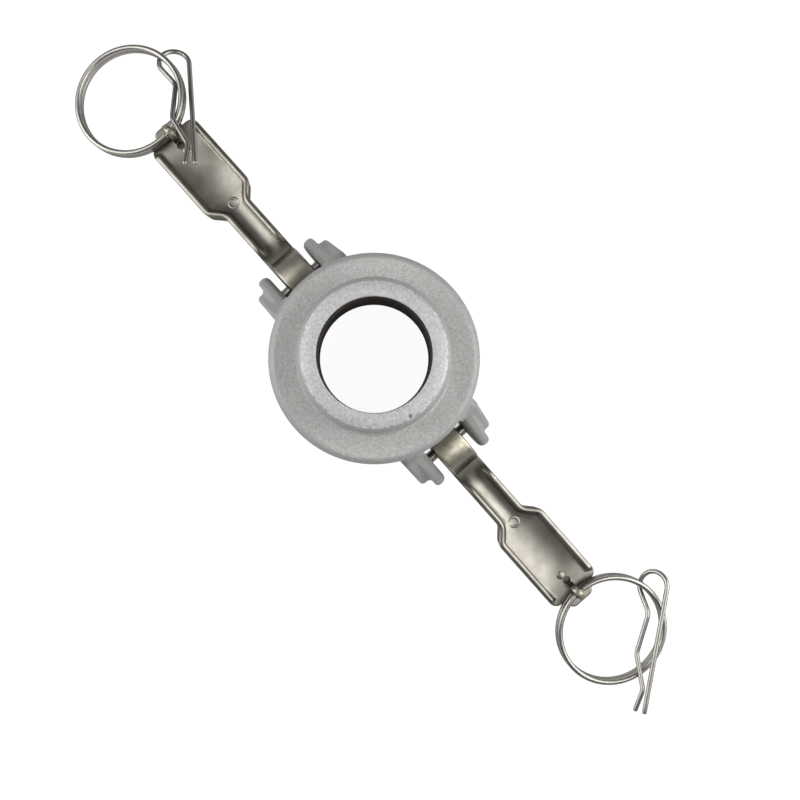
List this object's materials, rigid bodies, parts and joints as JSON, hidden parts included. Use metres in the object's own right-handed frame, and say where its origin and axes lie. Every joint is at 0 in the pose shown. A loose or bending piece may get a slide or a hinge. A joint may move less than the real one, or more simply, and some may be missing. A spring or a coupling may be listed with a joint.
{
  "type": "cam and groove coupling",
  "caption": "hose and pipe coupling whose socket grips a grooved adapter with swinging cam arms; plain pipe collar, rubber gasket, and a split ring with a spring clip on each arm",
  "frame": {"origin": "centre of the socket's face, which stands on the floor", "axes": "+Z along the pipe axis from the socket to the collar, +X from the pipe axis to the first cam arm, +Y completes the right-handed frame"},
  "size_m": [0.3111, 0.0706, 0.0672],
  "materials": {
    "casting": "sand cast and blasted, fine grain, machined in the socket",
    "gasket": "moulded black rubber",
    "arm": "cast stainless steel, tumbled",
    "pin": "drawn stainless steel",
    "ring": "bright stainless wire",
    "clip": "bright spring wire"
  },
  "bodies": {
    "coupler": {"coupler_body": "casting", "gasket": "gasket", "pin_a": "pin", "pin_b": "pin"},
    "arm_a": {"cam_arm_a": "arm"},
    "arm_b": {"cam_arm_b": "arm"},
    "ring_a": {"ring_a": "ring"},
    "ring_b": {"ring_b": "ring"},
    "clip_a": {"clip_a": "clip"},
    "clip_b": {"clip_b": "clip"}
  },
  "joints": [
    {"name": "arm_a_swing", "type": "hinge", "parent": "coupler", "child": "arm_a", "pos_m": [0.0386, 0, 0.016], "axis": [0, -1, 0], "range_deg": [0, 98]},
    {"name": "arm_b_swing", "type": "hinge", "parent": "coupler", "child": "arm_b", "pos_m": [-0.0386, 0, 0.016], "axis": [0, 1, 0], "range_deg": [0, 98]},
    {"name": "ring_a_swing", "type": "hinge", "parent": "arm_a", "child": "ring_a", "pos_m": [0.11055, 0, 0.00948], "axis": [0.0192, -0.9998, 0], "range_deg": [0, 100]},
    {"name": "ring_b_swing", "type": "hinge", "parent": "arm_b", "child": "ring_b", "pos_m": [-0.11063, 0, 0.01017], "axis": [-0.166, 0.9848, 0.0514], "range_deg": [0, 25]},
    {"name": "clip_a_swing", "type": "hinge", "parent": "ring_a", "child": "clip_a", "pos_m": [0.12845, 0.01992, 0.00621], "axis": [-0.9819, -0.0712, 0.1755], "range_deg": [0, 45]},
    {"name": "clip_b_swing", "type": "hinge", "parent": "ring_b", "child": "clip_b", "pos_m": [-0.13122, 0.01533, 0.00692], "axis": [-0.9795, -0.0793, -0.1853], "range_deg": [0, 20]}
  ]
}
